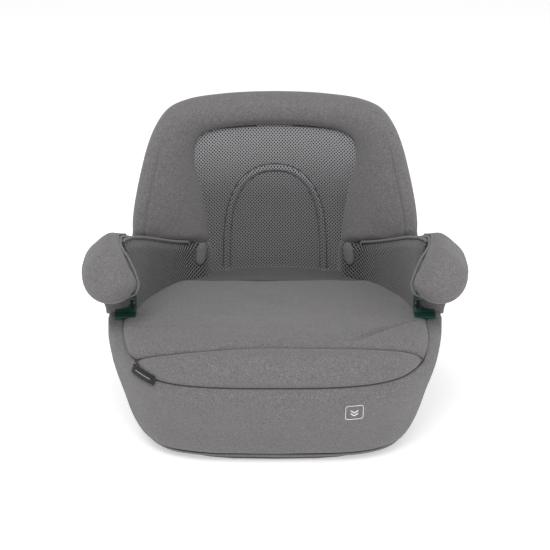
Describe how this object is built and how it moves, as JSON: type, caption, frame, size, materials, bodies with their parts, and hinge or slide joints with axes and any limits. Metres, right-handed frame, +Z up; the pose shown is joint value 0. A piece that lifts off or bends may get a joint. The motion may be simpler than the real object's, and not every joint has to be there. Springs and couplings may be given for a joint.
{
  "type": "booster seat",
  "caption": "Low-backed child booster seat: padded fabric seat and bucket back, horn-shaped armrests over green lap-belt guides, and sliding anchor connectors at the rear.",
  "frame": {"origin": "centre of the bounding box on the floor, under the feet", "axes": "+Z up, -Y the way the child faces, +X towards the child's left as seen from the front on the right-hand side"},
  "size_m": [0.456, 0.424, 0.362],
  "materials": {
    "melange_fabric": "heather grey woven fabric",
    "back_mesh": "light grey spacer mesh over a dark backing",
    "side_mesh": "dark grey spacer mesh",
    "gusset_fabric": "plain dark fabric",
    "shell_plastic": "fine-textured moulded plastic",
    "foam": "expanded foam",
    "guide_plastic": "dark green moulded plastic",
    "steel": "zinc-plated steel",
    "foot_rubber": "rubber",
    "label_fabric": "black woven tape",
    "print": "pale heat-pressed print",
    "button_plastic": "red moulded plastic"
  },
  "bodies": {
    "base": {"base_tray": "shell_plastic", "seat_shell": "shell_plastic", "seat_foam": "foam", "seat_cushion": "melange_fabric", "thigh_roll": "melange_fabric", "cover_skirt": "melange_fabric", "back_gusset": "gusset_fabric", "back_shell": "shell_plastic", "back_foam": "foam", "back_pad": "melange_fabric", "back_mesh_panel": "back_mesh", "adjuster_spring": "steel", "woven_label": "label_fabric", "printed_patch": "print", "side_mesh_left": "side_mesh", "armrest_core_left": "shell_plastic", "armrest_cover_left": "melange_fabric", "belt_guide_left": "guide_plastic", "guide_rail_left": "steel", "foot_front_left": "foot_rubber", "foot_rear_left": "foot_rubber", "shell_screw_front_left": "steel", "shell_screw_rear_left": "steel", "back_screw_lower_left": "steel", "back_screw_upper_left": "steel", "side_mesh_right": "side_mesh", "armrest_core_right": "shell_plastic", "armrest_cover_right": "melange_fabric", "belt_guide_right": "guide_plastic", "guide_rail_right": "steel", "foot_front_right": "foot_rubber", "foot_rear_right": "foot_rubber", "shell_screw_front_right": "steel", "shell_screw_rear_right": "steel", "back_screw_lower_right": "steel", "back_screw_upper_right": "steel"},
    "carriage": {"cross_tube": "steel", "anchor_arm_left": "steel", "connector_housing_left": "shell_plastic", "hook_pin_left": "steel", "anchor_arm_right": "steel", "connector_housing_right": "shell_plastic", "hook_pin_right": "steel"},
    "hook_left": {"latch_hook_left": "steel"},
    "hook_right": {"latch_hook_right": "steel"},
    "release_left": {"release_button_left": "button_plastic"},
    "release_right": {"release_button_right": "button_plastic"},
    "handle": {"adjuster_handle": "button_plastic"},
    "lock": {"lock_bar": "steel"}
  },
  "joints": [
    {"name": "carriage_slide", "type": "slide", "parent": "base", "child": "carriage", "axis": [0, 1, 0], "range_m": [0, 0.096]},
    {"name": "hook_turn_left", "type": "hinge", "parent": "carriage", "child": "hook_left", "pos_m": [-0.1421, 0.149, 0.0265], "axis": [1, 0, 0], "range_deg": [0, 50]},
    {"name": "release_press_left", "type": "slide", "parent": "carriage", "child": "release_left", "axis": [0, -1, 0], "range_m": [0, 0.006], "stiffness_N_per_m": 300},
    {"name": "hook_turn_right", "type": "hinge", "parent": "carriage", "child": "hook_right", "pos_m": [0.1421, 0.149, 0.0265], "axis": [1, 0, 0], "range_deg": [0, 50]},
    {"name": "release_press_right", "type": "slide", "parent": "carriage", "child": "release_right", "axis": [0, -1, 0], "range_m": [0, 0.006], "stiffness_N_per_m": 300},
    {"name": "handle_pull", "type": "slide", "parent": "base", "child": "handle", "axis": [0, -1, 0], "range_m": [0, 0.012], "stiffness_N_per_m": 600, "deforming": ["adjuster_spring"]},
    {"name": "lock_lift", "type": "slide", "parent": "base", "child": "lock", "axis": [0, 0, 1], "range_m": [0, 0.006]}
  ],
  "couplings": [
    {"joint": "lock_lift", "follows": "handle_pull", "ratio": 0.5}
  ]
}
